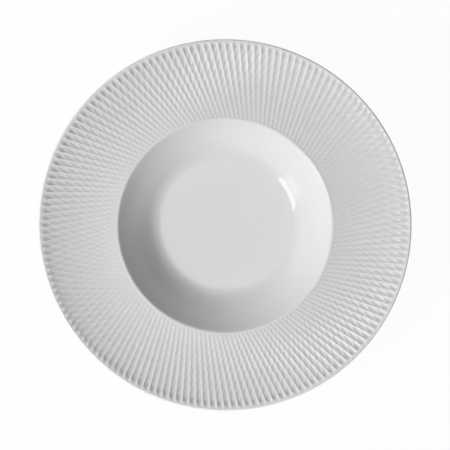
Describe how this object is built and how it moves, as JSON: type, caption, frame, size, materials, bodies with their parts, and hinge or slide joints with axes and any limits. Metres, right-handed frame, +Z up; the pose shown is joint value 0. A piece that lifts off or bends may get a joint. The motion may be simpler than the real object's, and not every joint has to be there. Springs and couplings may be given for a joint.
{
  "type": "pasta plate",
  "caption": "Deep round porcelain plate with a sloping-walled well, a wide rim pressed with fine crossing ribs, a plain rounded edge and a bare foot ring; glossy white glaze.",
  "frame": {"origin": "on the table, under the middle of the plate", "axes": "+Z up along the plate's axis, out of the well; X and Y along the table"},
  "size_m": [0.28, 0.28, 0.047],
  "materials": {
    "porcelain": "bare fired clay, fine and matt",
    "glaze": "clear gloss glaze over white porcelain"
  },
  "bodies": {
    "root": {"porcelain_body": "porcelain", "glaze_coat": "glaze", "base_glaze": "glaze"}
  },
  "joints": []
}
